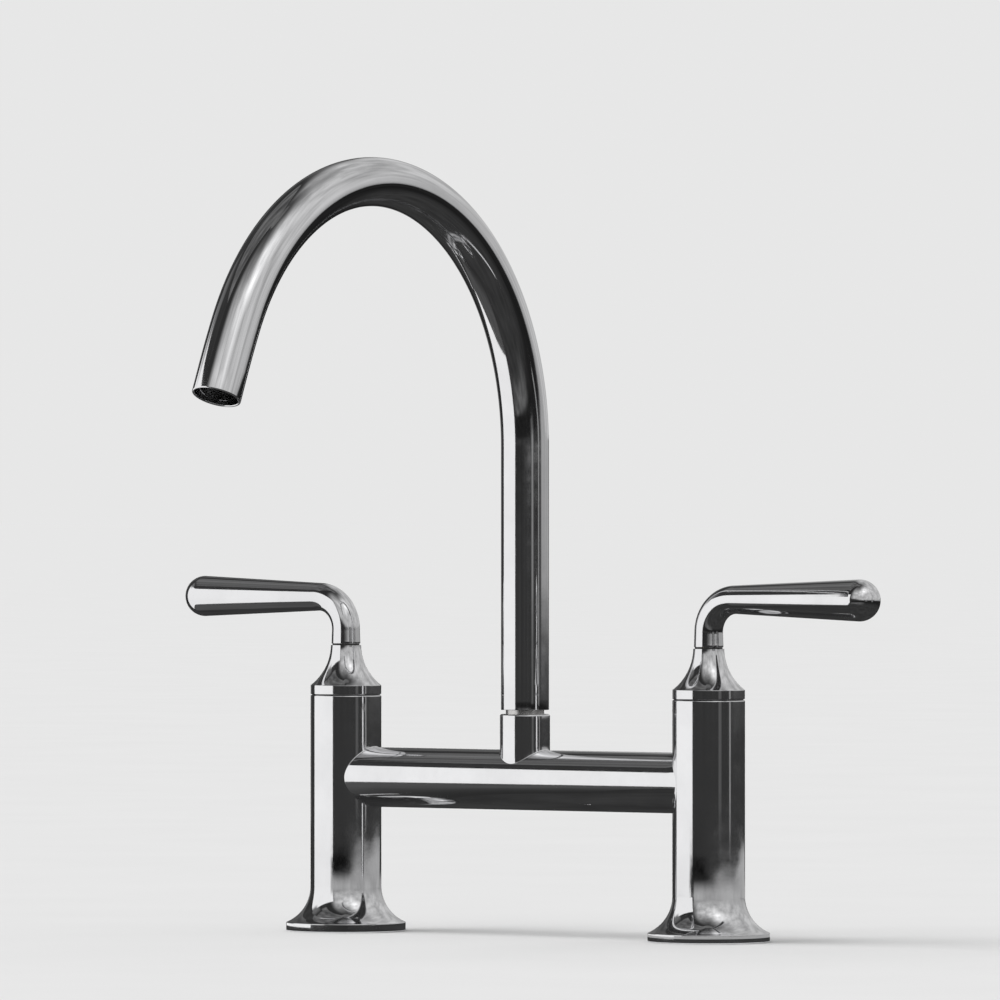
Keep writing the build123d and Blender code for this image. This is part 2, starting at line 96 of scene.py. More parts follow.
# Where a tube meets another, the joint is a fine blend, and its end sinks a little way in.
blend_r = 0.5 * MM
sunk = 0.3 * MM

# Collar and spout
collar_edge = 0.8 * MM
socket_r = 8.9 * MM
socket_depth = 17.0 * MM
bore_r = 9.6 * MM
mouth_r = 9.85 * MM
mouth_depth = 7.7 * MM
spout_foot_edge = 0.25 * MM
spout_lip = 0.55 * MM
riser_length = 121.5 * MM
bend_r = 118.95 * MM
bend_sweep = 153.2
ease_r = 400.0 * MM
ease_sweep = 3.4
tail_length = 12.6 * MM

# Bell cap
cap_rim = 4.2 * MM
cap_neck_r = 7.05 * MM
cap_cove = 24.0 * MM
cap_edge = 0.25 * MM
cap_bore_r = 5.4 * MM
cap_cavity_r = 10.55 * MM
cap_cavity_height = 6.65 * MM

# Lever
lever_stem_r = 6.7 * MM
lever_neck_r = 6.5 * MM
lever_bend = 15.0 * MM
lever_rise = 21.8 * MM
lever_edge = 0.3 * MM
lever_socket_r = 4.2 * MM
lever_socket_depth = 11.8 * MM
lever_screw_height = 4.4 * MM
collar_screw_drop = 8.0 * MM
screw_hole_r = 2.05 * MM

# Camera, measured from the photograph: a long lens, held level
view_azimuth = 34.7
camera_place = (2.5387, -3.6866, 0.2013)
focal_pixels = 9700
frame_pixels = 1000
sensor_width = 36.0

# Fineness of the meshes
LATHE_STEPS = 192
TUBE_STEPS = 144
HOLE_STEPS = 64
ARC_STEPS = 8
COVE_STEPS = 40
BRIDGE_STEPS = 48
RISER_STEPS = 24
BEND_STEP = 1.0             # degrees
CREASE = 32                 # an edge that turns by more than this many degrees stays sharp
brace = 0.2 * MM


# Profiles -------------------------------------------------------------------------------

def arc(centre, radius, start, end, steps):
    """Points of an arc in a plane, from start to end in degrees."""
    angles = [radians(start + (end - start) * i / steps) for i in range(steps + 1)]
    return [(centre[0] + radius * cos(a), centre[1] + radius * sin(a)) for a in angles]


def rounded(corner, before, after, radius):
    """Arc of that radius in a corner, between the points before and after it."""
    corner, before, after = Vector(corner), Vector(before), Vector(after)
    back = (before - corner).normalized()
    on = (after - corner).normalized()
    half = back.angle(on) / 2
    middle = corner + (back + on).normalized() * radius / sin(half)
    first = corner + back * radius / (sin(half) / cos(half)) - middle
    last = corner + on * radius / (sin(half) / cos(half)) - middle
    turn = first.angle_signed(last)
    points = []
    for i in range(ARC_STEPS + 1):
        angle = -turn * i / ARC_STEPS
        points.append((
            middle.x + first.x * cos(angle) - first.y * sin(angle),
            middle.y + first.x * sin(angle) + first.y * cos(angle),
        ))
    return points


def profile(*corners):
    """Outline from (point, radius) corners, where a radius of 0 leaves the corner as it is."""
    points = []
    for i, (point, radius) in enumerate(corners):
        if radius:
            points += rounded(point, corners[i - 1][0], corners[(i + 1) % len(corners)][0], radius)
        else:
            points.append(point)
    return braced(points)


def braced(points):
    """The outline with a point close to each end of its long runs, which keeps them straight."""
    whole = []
    for point, after in zip(points, points[1:] + points[:1]):
        whole.append(point)
        a, b = Vector(point), Vector(after)
        if (b - a).length > 4 * brace:
            step = (b - a).normalized() * brace
            whole += [tuple(a + step), tuple(b - step)]
    return whole


# Meshes ---------------------------------------------------------------------------------

def ring(centre, across, along, radius, steps):
    """Circle of points in the plane of two directions, or one point where the radius is 0."""
    if radius == 0:
        return [Vector(centre)]
    turns = [2 * pi * i / steps for i in range(steps)]
    return [Vector(centre) + radius * (cos(t) * across + sin(t) * along) for t in turns]


def skin(name, rings, closed=False):
    """Mesh over rings of points. A ring of one point closes the form in a pole."""
    mesh = bpy.data.meshes.new(name)
    shape = bmesh.new()
    rows = [[shape.verts.new(point) for point in points] for points in rings]
    pairs = list(zip(rows, rows[1:]))
    if closed:
        pairs.append((rows[-1], rows[0]))
    for lower, upper in pairs:
        steps = max(len(lower), len(upper))
        for i in range(steps):
            j = (i + 1) % steps
            if len(lower) == 1:
                shape.faces.new((lower[0], upper[i], upper[j]))
            elif len(upper) == 1:
                shape.faces.new((lower[i], lower[j], upper[0]))
            else:
                shape.faces.new((lower[i], lower[j], upper[j], upper[i]))
    bmesh.ops.recalc_face_normals(shape, faces=shape.faces)
    shape.to_mesh(mesh)
    shape.free()
    piece = bpy.data.objects.new(name, mesh)
    bpy.context.scene.collection.objects.link(piece)
    smooth(piece)
    return piece


def smooth(piece):
    """Smooth shading, with a crease wherever the form turns sharply."""
    piece.data.shade_smooth()
    piece.data.set_sharp_from_angle(angle=radians(CREASE))


def lathe(name, x, outline):
    """Turned form about the upright axis at x, from a closed outline of (radius, height)."""
    rings = [ring((x, 0, z), X_AXIS, Y_AXIS, r, LATHE_STEPS) for r, z in outline]
    return skin(name, rings, closed=True)


def drill(piece, place, depth):
    """Round hole for a grub screw, straight in from the rear."""
    near = Vector(place)
    far = near + Y_AXIS * depth
    cutter = skin("cutter", [
        [near],
        ring(near, X_AXIS, UP, screw_hole_r, HOLE_STEPS),
        ring(far, X_AXIS, UP, screw_hole_r, HOLE_STEPS),
        [far],
    ])
    cut = piece.modifiers.new("hole", "BOOLEAN")
    cut.operation = "DIFFERENCE"
    cut.solver = "EXACT"
    cut.object = cutter
    bpy.context.view_layer.update()
    whole = piece.evaluated_get(bpy.context.evaluated_depsgraph_get())
    piece.data = bpy.data.meshes.new_from_object(whole)
    piece.modifiers.clear()
    bpy.data.objects.remove(cutter)
    smooth(piece)


def fit_out(piece, body, node):
    """A chrome piece stands for its CAD node and rides on that node's body."""
    piece.data.materials.clear()
    piece.data.materials.append(materials["chrome"])
    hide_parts(node)
    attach(piece, body)


# Materials ------------------------------------------------------------------------------

class Nodes:
    """A new node material, with short calls that add and join nodes."""

    def __init__(self, name):
        self.material = bpy.data.materials.new(name)
        self.material.use_nodes = True
        self.tree = self.material.node_tree
        self.shader = self.tree.nodes["Principled BSDF"]
        self.place = self.add("ShaderNodeTexCoord").outputs["Object"]

    def add(self, kind, **values):
        node = self.tree.nodes.new(kind)
        for key, value in values.items():
            setattr(node, key, value)
        return node

    def join(self, source, target):
        self.tree.links.new(source, target)

    def math(self, operation, *terms):
        """Outcome of a math node, whose terms are sources or plain numbers."""
        node = self.add("ShaderNodeMath", operation=operation)
        for term, target in zip(terms, node.inputs):
            if isinstance(term, (int, float)):
                target.default_value = term
            else:
                self.join(term, target)
        return node.outputs["Value"]

    def noise(self, scale, detail=4.0, roughness=0.5, stretch=(1, 1, 1)):
        mapping = self.add("ShaderNodeMapping")
        mapping.inputs["Scale"].default_value = stretch
        self.join(self.place, mapping.inputs["Vector"])
        texture = self.add("ShaderNodeTexNoise")
        texture.inputs["Scale"].default_value = scale
        texture.inputs["Detail"].default_value = detail
        texture.inputs["Roughness"].default_value = roughness
        self.join(mapping.outputs["Vector"], texture.inputs["Vector"])
        return texture.outputs["Fac"]

    def spread(self, source, low, high, start=0.35, end=0.65):
        """The source, from start to end, laid out from low to high."""
        node = self.add("ShaderNodeMapRange")
        node.inputs["From Min"].default_value = start
        node.inputs["From Max"].default_value = end
        node.inputs["To Min"].default_value = low
        node.inputs["To Max"].default_value = high
        self.join(source, node.inputs["Value"])
        return node.outputs["Result"]

    def tint(self, source, dark, light):
        node = self.add("ShaderNodeMix", data_type="RGBA")
        node.inputs["A"].default_value = (*dark, 1)
        node.inputs["B"].default_value = (*light, 1)
        self.join(self.spread(source, 0, 1), node.inputs["Factor"])
        self.join(node.outputs["Result"], self.shader.inputs["Base Color"])

    def bump(self, source, depth, below=None):
        node = self.add("ShaderNodeBump")
        node.inputs["Strength"].default_value = 1.0
        node.inputs["Distance"].default_value = depth
        self.join(source, node.inputs["Height"])
        if below:
            self.join(below, node.inputs["Normal"])
        return node.outputs["Normal"]

    def normal(self, source):
        self.join(source, self.shader.inputs["Normal"])

    def gloss(self, source, low, high):
        self.join(self.spread(source, low, high), self.shader.inputs["Roughness"])

    def metal(self):
        self.shader.inputs["Metallic"].default_value = 1.0
        return self


def chrome():
    """Polished plating: faint smudges, fine polishing marks and a slight wander of the surface."""
    m = Nodes("polished_chrome").metal()
    smudges = m.noise(38, 6, 0.62)
    m.tint(smudges, (0.77, 0.77, 0.78), (0.83, 0.83, 0.84))
    m.gloss(m.noise(70, 8, 0.7), 0.035, 0.10)
    wander = m.bump(m.noise(55, 2, 0.4), 0.000045)
    m.normal(m.bump(m.noise(900, 3, 0.6), 0.0000016, wander))
    return m.material


def plated_brass():
    """Satin plating over turning marks."""
    m = Nodes("satin_plating").metal()
    m.tint(m.noise(60, 5), (0.58, 0.57, 0.56), (0.66, 0.65, 0.64))
    m.gloss(m.noise(150, 5), 0.20, 0.34)
    m.normal(m.bump(m.noise(220, 2, 0.5, (0.15, 0.15, 18)), 0.000012))
    return m.material


def brass():
    """Bare turned brass with fine rings from the tool."""
    m = Nodes("turned_brass").metal()
    m.tint(m.noise(50, 5), (0.72, 0.55, 0.27), (0.84, 0.68, 0.39))
    m.gloss(m.noise(130, 5), 0.18, 0.33)
    m.normal(m.bump(m.noise(240, 2, 0.5, (0.15, 0.15, 20)), 0.000015))
    return m.material


def steel():
    """Stainless steel with a drawn, slightly streaked skin."""
    m = Nodes("stainless_steel").metal()
    m.tint(m.noise(90, 5), (0.50, 0.50, 0.51), (0.60, 0.60, 0.61))
    m.gloss(m.noise(200, 6, 0.6), 0.22, 0.38)
    m.normal(m.bump(m.noise(500, 3, 0.5, (1, 8, 1)), 0.000008))
    return m.material


def rubber():
    """Moulded black rubber: fine grain and a dusty bloom."""
    m = Nodes("black_rubber")
    m.tint(m.noise(120, 5), (0.022, 0.022, 0.022), (0.045, 0.045, 0.044))
    m.gloss(m.noise(300, 5), 0.55, 0.75)
    m.normal(m.bump(m.noise(1400, 3), 0.00002))
    return m.material


def ceramic():
    """Lapped white alumina."""
    m = Nodes("alumina")
    m.tint(m.noise(80, 5), (0.88, 0.87, 0.84), (0.94, 0.93, 0.90))
    m.gloss(m.noise(240, 5), 0.12, 0.24)
    m.normal(m.bump(m.noise(1600, 3), 0.000003))
    return m.material


def dark_plastic():
    """Black moulded acetal."""
    m = Nodes("black_acetal")
    m.tint(m.noise(90, 5), (0.010, 0.010, 0.010), (0.020, 0.020, 0.020))
    m.gloss(m.noise(260, 5), 0.55, 0.72)
    m.normal(m.bump(m.noise(1200, 3), 0.000008))
    m.shader.inputs["Specular IOR Level"].default_value = 0.2
    return m.material


def plastic():
    """Moulded acetal with a faint texture."""
    m = Nodes("acetal")
    m.tint(m.noise(90, 5), (0.81, 0.81, 0.80), (0.88, 0.88, 0.87))
    m.gloss(m.noise(260, 5), 0.35, 0.50)
    m.normal(m.bump(m.noise(1200, 3), 0.000008))
    return m.material


materials = {
    "chrome": chrome(),
    "plated_brass": plated_brass(),
    "brass": brass(),
    "steel": steel(),
    "rubber": rubber(),
    "ceramic": ceramic(),
    "dark_plastic": dark_plastic(),
    "plastic": plastic(),
}

for part in frame["record"]["subparts"]:
    node = frame["nodes"][part["node"]]
    node.data.materials.clear()
    node.data.materials.append(materials[part["material_slot"]])


# Columns --------------------------------------------------------------------------------

cove_sweep = degrees(acos(1 - (flange_r - column_r) / flange_cove))
cove_centre = (column_r + flange_cove, flange_rim + flange_cove * sin(radians(cove_sweep)))


def make_column(side):
    """Turned column, with its coved flange, inlet socket, gasket groove and valve chamber."""
    cove = arc(cove_centre, flange_cove, 180 + cove_sweep, 180, COVE_STEPS)
    rim_top = cove[0]
    recess_floor = column_top - hex_recess_depth
    groove_in, groove_out = gasket_groove
    corners = [
        ((inlet_r, 0), 0),
        ((groove_in, 0), 0),
        ((groove_in, gasket_groove_depth), 0),
        ((groove_out, gasket_groove_depth), 0),
        ((groove_out, 0), 0),
        ((flange_r, 0), flange_foot_edge),
        (rim_top, flange_edge),
        *[(point, 0) for point in cove[1:]],
        ((column_r, column_top), column_edge),
        ((hex_recess_r, column_top), 0),
        ((hex_recess_r, recess_floor), 0),
        ((chamber_r, recess_floor), 0),
        ((chamber_r, seat_height), 0),
        ((waterway_r, seat_height), 0),
        ((waterway_r, inlet_depth), 0),
        ((inlet_r, inlet_depth), 0),
    ]
    return lathe(f"{side}_column_skin", SIDES[side] * half_centres, profile(*corners))


# Bell caps ------------------------------------------------------------------------------

def make_cap(side):
    """Bell cap: upright rim, hollow cove up to the neck, and the cavity over the valve's boss."""
    low = Vector((cap_r, cap_foot + cap_rim))
    high = Vector((cap_neck_r, cap_top))
    half = (high - low) / 2
    away = Vector((half.y, -half.x)).normalized()
    centre = low + half + away * sqrt(cap_cove ** 2 - half.length_squared)
    start = degrees(atan2(low.y - centre.y, low.x - centre.x)) % 360
    end = degrees(atan2(high.y - centre.y, high.x - centre.x)) % 360
    cove = arc(centre, cap_cove, start, end, COVE_STEPS)
    cavity_top = cap_foot + cap_cavity_height
    corners = [
        ((cap_cavity_r, cap_foot), 0),
        ((cap_r, cap_foot), cap_edge),
        (cove[0], cap_edge),
        *[(point, 0) for point in cove[1:]],
        ((cap_bore_r, cap_top), 0),
        ((cap_bore_r, cavity_top), 0),
        ((cap_cavity_r, cavity_top), 0),
    ]
    return lathe(f"{side}_cap_skin", SIDES[side] * half_centres, profile(*corners))


# Levers ---------------------------------------------------------------------------------

def make_lever(side):
    """Lever: waisted stem, quarter bend, and an arm that swells into a domed tip."""
    out = SIDES[side] * X_AXIS
    foot = out * half_centres + UP * lever_foot
    bend_height = lever_rise - lever_bend
    dome_x = lever_reach - lever_tip_r
    away = sqrt((dome_x - lever_bend) ** 2 + lever_neck_r ** 2)
    side_angle = asin(lever_tip_r / away) - atan2(lever_neck_r, dome_x - lever_bend)

    def upright(height, radius):
        return ring(foot + UP * height, out, Y_AXIS, radius, TUBE_STEPS)

    def along(reach, radius):
        return ring(foot + UP * lever_rise + out * reach, -UP, Y_AXIS, radius, TUBE_STEPS)

    rings = [upright(lever_socket_depth, 0), upright(lever_socket_depth, lever_socket_r)]
    rings += [upright(0, lever_socket_r)]
    for r, z in arc((lever_stem_r - lever_edge, lever_edge), lever_edge, -90, 0, ARC_STEPS):
        rings.append(upright(z, r))
    for i in range(1, ARC_STEPS):
        share = i / ARC_STEPS
        height = lever_edge + (bend_height - lever_edge) * share
        waist = (lever_stem_r - lever_neck_r) * height / bend_height
        rings.append(upright(height, lever_stem_r - waist))
    for i in range(COVE_STEPS + 1):
        turn = radians(90 * i / COVE_STEPS)
        centre = foot + UP * (bend_height + lever_bend * sin(turn)) + out * lever_bend * (1 - cos(turn))
        outward = out * cos(turn) - UP * sin(turn)
        rings.append(ring(centre, outward, Y_AXIS, lever_neck_r, TUBE_STEPS))
    dome_start = (dome_x - lever_tip_r * sin(side_angle), lever_tip_r * cos(side_angle))
    for i in range(1, COVE_STEPS):
        share = i / COVE_STEPS
        reach = lever_bend + (dome_start[0] - lever_bend) * share
        rings.append(along(reach, lever_neck_r + (dome_start[1] - lever_neck_r) * share))
    for reach, radius in arc((dome_x, 0), lever_tip_r, 90 + degrees(side_angle), 0, COVE_STEPS)[:-1]:
        rings.append(along(reach, radius))
    rings.append(along(lever_reach, 0))
    return skin(f"{side}_lever_skin", rings)


# Bridge, collar -------------------------------------------------------------------------

def between(start, end, share):
    """Direction part of the way from one unit vector to another, at an even pace."""
    angle = start.angle(end)
    return (start * sin((1 - share) * angle) + end * sin(share * angle)) / sin(angle)


def make_bridge():
    """Tube with a fine blend where each end meets its column."""
    spine = UP * bridge_height

    def end_rings(side):
        rings = [[] for _ in range(ARC_STEPS + 2)]
        for step in range(LATHE_STEPS):
            turn = 2 * pi * step / LATHE_STEPS
            out = Vector((0, sin(turn), cos(turn)))
            y = (bridge_r + blend_r) * out.y
            gap = half_centres - sqrt((column_r + blend_r) ** 2 - y ** 2)
            ball = spine + out * (bridge_r + blend_r) + X_AXIS * side * gap
            inward = Vector((side * half_centres - ball.x, -ball.y, 0)).normalized()
            for i in range(ARC_STEPS + 1):
                rings[i].append(ball + between(-out, inward, i / ARC_STEPS) * blend_r)
            rings[-1].append(ball + inward * (blend_r + sunk))
        return rings

    left = end_rings(-1)
    right = end_rings(1)
    inside = half_centres - chamber_r - 2 * sunk
    rings = [[spine - X_AXIS * inside], *reversed(left)]
    for i in range(1, BRIDGE_STEPS):
        rings.append([a.lerp(b, i / BRIDGE_STEPS) for a, b in zip(left[0], right[0])])
    rings += [*right, [spine + X_AXIS * inside]]
    return skin("bridge_skin", rings)


def make_collar():
    """Short socket on the bridge, rounded at its top and blended in at its foot."""
    floor = collar_top - socket_depth

    def level(z, radius):
        return ring((0, 0, z), X_AXIS, Y_AXIS, radius, LATHE_STEPS)

    rings = [level(floor, 0), level(floor, socket_r), level(collar_top, socket_r)]
    round_centre = (collar_r - collar_edge, collar_top - collar_edge)
    rings += [level(z, r) for r, z in arc(round_centre, collar_edge, 90, 0, 2 * ARC_STEPS)]
    foot = [[] for _ in range(ARC_STEPS + 2)]
    for step in range(LATHE_STEPS):
        turn = 2 * pi * step / LATHE_STEPS
        out = Vector((cos(turn), sin(turn), 0))
        ball = out * (collar_r + blend_r)
        ball.z = bridge_height + sqrt((bridge_r + blend_r) ** 2 - ball.y ** 2)
        down = Vector((0, -ball.y, bridge_height - ball.z)).normalized()
        for i in range(ARC_STEPS + 1):
            foot[i].append(ball + between(-out, down, i / ARC_STEPS) * blend_r)
        foot[-1].append(ball + down * (blend_r + sunk))
    shoulder = rings[-1]
    for i in range(1, ARC_STEPS):
        rings.append([a.lerp(b, i / ARC_STEPS) for a, b in zip(shoulder, foot[0])])
    rings += [*foot, level(bridge_height + bridge_r / 2, 0)]
    return skin("collar_skin", rings)


# Spout ----------------------------------------------------------------------------------

def spout_line():
    """Centre line of the spout as (place, direction), from its foot to its outlet."""
    bend_height = spout_foot + riser_length

    def at(reach, height):
        return UP * height - Y_AXIS * reach

    line = [(at(0, spout_foot + riser_length * i / RISER_STEPS), UP) for i in range(RISER_STEPS)]
    steps = ceil(bend_sweep / BEND_STEP)
    for i in range(steps + 1):
        a = radians(180 - bend_sweep * i / steps)
        line.append((at(bend_r + bend_r * cos(a), bend_height + bend_r * sin(a)), at(sin(a), -cos(a))))
    end_angle = radians(180 - bend_sweep)
    ease = line[-1][0] - at(cos(end_angle), sin(end_angle)) * ease_r
    for i in range(1, ARC_STEPS + 1):
        a = end_angle - radians(ease_sweep * i / ARC_STEPS)
        line.append((ease + at(cos(a), sin(a)) * ease_r, at(sin(a), -cos(a))))
    place, direction = line[-1]
    line.append((place + direction * tail_length, direction))
    return line


def make_spout():
    """Gooseneck tube with a rounded foot and lip, a counterbored mouth and an open bore."""
    line = spout_line()
    end, direction = line[-1]

    def around(place, heading, radius):
        return ring(place, X_AXIS, heading.cross(X_AXIS), radius, TUBE_STEPS)

    def near_end(back, radius):
        return around(end - direction * back, direction, radius)

    foot_arc = arc((spout_r - spout_foot_edge, spout_foot_edge), spout_foot_edge, -90, 0, ARC_STEPS)
    rings = [around(line[0][0], UP, bore_r)]
    rings += [around(line[0][0] + UP * z, UP, r) for r, z in foot_arc]
    rings += [around(place, heading, spout_r) for place, heading in line[1:-1]]
    outer_lip = arc((spout_r - spout_lip, -spout_lip), spout_lip, 0, 90, ARC_STEPS)
    rings += [near_end(-z, r) for r, z in outer_lip]
    inner_lip = arc((mouth_r + spout_lip, -spout_lip), spout_lip, 90, 180, ARC_STEPS)
    rings += [near_end(-z, r) for r, z in inner_lip]
    rings += [near_end(mouth_depth, mouth_r), near_end(mouth_depth, bore_r)]
    rings += [around(place, heading, bore_r) for place, heading in reversed(line[1:-1])]
    return skin("spout_skin", rings, closed=True)


# All the pieces -------------------------------------------------------------------------

for side, sign in SIDES.items():
    fit_out(make_column(side), "bridge_body", f"{side}_column")
    fit_out(make_cap(side), "bridge_body", f"{side}_bell_cap")
    lever = make_lever(side)
    screw_place = (sign * half_centres, lever_socket_r / 2, lever_foot + lever_screw_height)
    drill(lever, screw_place, 2 * lever_stem_r)
    fit_out(lever, f"{side}_handle", f"{side}_lever")

fit_out(make_bridge(), "bridge_body", "bridge_tube")
collar = make_collar()
drill(collar, (0, socket_r / 2, collar_top - collar_screw_drop), 2 * collar_r)
fit_out(collar, "bridge_body", "spout_collar")
fit_out(make_spout(), "spout", "spout_tube")


# Camera ---------------------------------------------------------------------------------

azimuth = radians(view_azimuth)
to_camera = Vector((sin(azimuth), -cos(azimuth), 0))
camera_right = Vector((cos(azimuth), sin(azimuth), 0))

lens = bpy.data.cameras.new("camera")
lens.sensor_width = sensor_width
lens.lens = focal_pixels * sensor_width / frame_pixels
lens.clip_start = 0.1
lens.clip_end = 100
camera = bpy.data.objects.new("camera", lens)
camera.location = camera_place
camera.rotation_euler = to_camera.to_track_quat("Z", "Y").to_euler()
bpy.context.scene.collection.objects.link(camera)
bpy.context.scene.camera = camera


# Cards ----------------------------------------------------------------------------------

# Bearings run from the camera, positive to its right, and rises from the levers' height.
CARD_STEPS = 24
CARD_BEARING_STEP = 3
DARK = 0.03                 # what a card still glows where it is dark

# The angles at which a veil glows, from none to fully: 0 is straight on and 1 is edge on
GRAZING = (0.86, 0.93)
STEEP = (0.962, 0.94)
SQUARE = (0.14, 0.05)


def within(span, share):
    """Value at a share of the way along a span."""
    return span[0] + (span[1] - span[0]) * share


def ramp(value, start, end):
    """0 before the start and 1 after the end, with a smooth turn between."""
    share = min(1.0, max(0.0, (value - start) / (end - start)))
    return share * share * (3 - 2 * share)


def fading(start=0, end=0, foot=0, top=0):
    """Even glow that fades at a card's edges, over these shares of its width and height."""
    def edge(share, first, last):
        into = ramp(share, 0, first) if first else 1
        return into * (1 - ramp(share, 1 - last, 1) if last else 1)

    return lambda across, up: edge(across, start, end) * edge(up, foot, top)


def lit(name, brightness, grain, angle):
    """Glowing material for a card, uneven at the scale of its grain, and fading with its glow.

    With an angle it is a clear veil, which only glows towards what meets it at that angle.
    """
    m = Nodes(name)
    m.tree.nodes.remove(m.shader)
    fade = m.add("ShaderNodeAttribute", attribute_name="glow").outputs["Fac"]
    level = m.spread(m.noise(grain, 7, 0.6), *brightness)
    glow = m.add("ShaderNodeEmission")
    m.join(m.math("MULTIPLY_ADD", level, 1 if angle else fade, DARK), glow.inputs["Strength"])
    surface = glow.outputs["Emission"]
    if angle:
        facing = m.add("ShaderNodeLayerWeight").outputs["Facing"]
        veil = m.add("ShaderNodeMixShader")
        m.join(m.math("MULTIPLY", m.spread(facing, 0, 1, *angle), fade), veil.inputs[0])
        m.join(m.add("ShaderNodeBsdfTransparent").outputs["BSDF"], veil.inputs[1])
        m.join(surface, veil.inputs[2])
        surface = veil.outputs["Shader"]
    m.join(surface, m.tree.nodes["Material Output"].inputs["Surface"])
    return m.material


def place_card(name, rows, brightness, grain, glow, angle=None):
    """Studio card that only shows in what is glossy, from rows of points."""
    mesh = bpy.data.meshes.new(name)
    wide, tall = len(rows[0]), len(rows)
    faces = []
    for j in range(tall - 1):
        for i in range(wide - 1):
            corner = j * wide + i
            faces.append((corner, corner + 1, corner + wide + 1, corner + wide))
    mesh.from_pydata([point for row in rows for point in row], [], faces)
    mesh.attributes.new("glow", "FLOAT", "POINT").data.foreach_set("value", [
        glow(i / (wide - 1), j / (tall - 1)) for j in range(tall) for i in range(wide)
    ])
    mesh.materials.append(lit(name, brightness, grain, angle))
    card = bpy.data.objects.new(name, mesh)
    bpy.context.scene.collection.objects.link(card)
    card.visible_camera = False
    card.visible_diffuse = False
    card.visible_shadow = False
    card.visible_transmission = False


def sector(span, radius, height, centre=(0, 0, 0)):
    """Points round a centre, over a span of bearings."""
    steps = max(12, ceil(abs(span[1] - span[0]) / CARD_BEARING_STEP))
    bearings = [radians(within(span, i / steps)) for i in range(steps + 1)]
    middle = Vector(centre) + UP * height
    return [middle + radius * (to_camera * cos(b) + camera_right * sin(b)) for b in bearings]


def upright_card(name, span, heights, radius, brightness, grain=2.0, glow=fading(),
                 centre=(0, 0, 0), angle=None):
    """Upright card bent round a centre."""
    levels = [within(heights, i / CARD_STEPS) for i in range(CARD_STEPS + 1)]
    rows = [sector(span, radius, level, centre) for level in levels]
    place_card(name, rows, brightness, grain, glow, angle)


def level_card(name, span, reaches, height, brightness, grain=2.0, glow=fading(), angle=None):
    """Level card, a sector of a ring round the object."""
    radii = [within(reaches, i / CARD_STEPS) for i in range(CARD_STEPS + 1)]
    rows = [sector(span, radius, height) for radius in radii]
    place_card(name, rows, brightness, grain, glow, angle)


def sky_card(name, span, rise, radius, brightness, grain, glow):
    """Domed card overhead, between two bearings and two rises."""
    rises = [radians(within(rise, i / CARD_STEPS)) for i in range(CARD_STEPS + 1)]
    rows = [sector(span, radius * cos(e), lever_foot + radius * sin(e)) for e in rises]
    place_card(name, rows, brightness, grain, glow)


# Studio ---------------------------------------------------------------------------------

ALL_ROUND = (0, 360)
MIDDLE = 0.001              # inner reach of a card that covers the middle
drum_r = 5.5
drum_top = 6.0
sky_r = 5.0
sky_span = (-75, 196)
sky_rise = (1.7, 84)
key_r = 0.97
key_span = (-48.3, -123)
key_top = 0.72
fill_top = 0.27
table_span = (-46, 150)
table_reach = (0.04, 1.2)

# The level cards lie just above the floor, one above the other.
dark_floor_height = 0.0006
key_floor_height = 0.0009
steep_floor_height = 0.0014
floor_patch_height = 0.0016
far_dip_height = 0.0018
table_sheen_height = 0.0024


def sky_glow(across, up):
    """Sky: even at the right, dimmer with height at the left, and a bright patch high up."""
    bearing = within(sky_span, across)
    rise = within(sky_rise, up)
    dimming_rise = 26 + 24 * ramp(bearing, 0, 30)
    even = 0.5 * (1 - ramp(rise, dimming_rise, 89))
    patch_rise = 42 + 15 * ramp(bearing, 0, 60)
    patch = 0.55 * exp(-((bearing - 35) / 45) ** 2 - ((rise - patch_rise) / 13) ** 2)
    low_edge = 2 + 8 * (1 - ramp(bearing, -35, 15))
    clear_of_edge = ramp(rise, low_edge - 3, low_edge + 3) if bearing < 15 else 1
    left_end = ramp(bearing, -58, -30)
    right_end = 1 - ramp(bearing, 170, 196)
    return clear_of_edge * (even + patch) * left_end * right_end


def key_glow(across, up):
    """Softbox whose far upper corner is dim."""
    return 1 - 0.85 * ramp(up, 0.7, 0.95) * ramp(across, 0.72, 0.85)


def haze_glow(across, up):
    """Haze that fades at both sides and towards the floor."""
    return fading(start=0.5, end=0.5)(across, up) * (0.35 + 0.65 * ramp(up, 0.35, 0.6))


def wall_glow(across, up):
    """Wall that starts a fifth of the way along, and fades towards the floor."""
    return 0.08 + 0.92 * ramp(across, 0.2, 0.28) * ramp(up, 0.15, 0.54)


def painted_sheen_glow(across, up):
    """Painted sheen near the object, which reaches further out at the right."""
    bearing = within(table_span, across)
    reach = within(table_reach, up)
    edge = 0.46 + 0.4 * ramp(bearing, -5, 45) + 0.3 * ramp(bearing, 80, 130)
    return 1 - ramp(reach, edge - 0.12, edge + 0.12)


def make_room():
    """Dark room under a cloudy sky."""
    upright_card("dark_drum", ALL_ROUND, (0, drum_top), drum_r, (0.0, 0.02), 0.8)
    level_card("dark_ceiling", ALL_ROUND, (MIDDLE, drum_r), drum_top, (0.04, 0.16), 0.8)
    level_card("dark_floor", ALL_ROUND, (MIDDLE, drum_r), dark_floor_height, (0.0, 0.02), 12)
    sky_card("sky", sky_span, sky_rise, sky_r, (0.72, 1.28), 1.0, sky_glow)


def make_key():
    """Large softbox at the left, which stands on the floor. Its pool of light on the floor is painted
    on glowing sheets that only the metal shows, with painted shade near the object.
    """
    upright_card("key_softbox", key_span, (0.0, key_top), key_r, (0.97, 0.97), glow=key_glow)
    upright_card("key_spill", (-96, -126), (key_top, 1.15), key_r, (0.11, 0.16),
                 glow=fading(start=0.3, top=0.9))
    # Painted pool of light: a glowing sheet on the floor between the softbox and the object
    level_card("key_floor", key_span, (0.34, key_r), key_floor_height, (0.95, 0.97))
    # Painted shade: a dim sheet on the floor near the object, darkest nearest it
    level_card("painted_shade_near_key", key_span, (0.08, 0.34), key_floor_height, (0.04, 0.07), 12,
               fading(foot=0.5))


